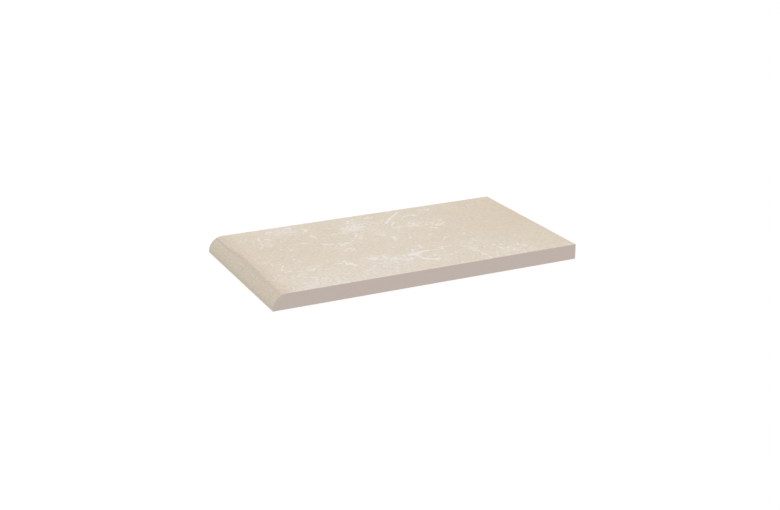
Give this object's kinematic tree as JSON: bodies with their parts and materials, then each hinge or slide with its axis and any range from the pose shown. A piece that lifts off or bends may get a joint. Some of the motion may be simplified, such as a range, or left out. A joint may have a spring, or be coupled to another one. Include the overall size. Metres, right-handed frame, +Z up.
{
  "type": "clinker window sill tile",
  "caption": "Flat rectangular fired-clay tile with one short edge rounded over as a drip nose and a grooved bedding face, laid side by side to cap an outside window sill.",
  "frame": {"origin": "middle of the tile's footprint, on the bedding plane", "axes": "+X from the nose to the end that meets the window frame, +Y across the tile, +Z up out of the glazed face"},
  "size_m": [0.245, 0.135, 0.0117],
  "materials": {
    "clinker": "matte"
  },
  "bodies": {
    "root": {"sill_tile": "clinker"}
  },
  "joints": []
}
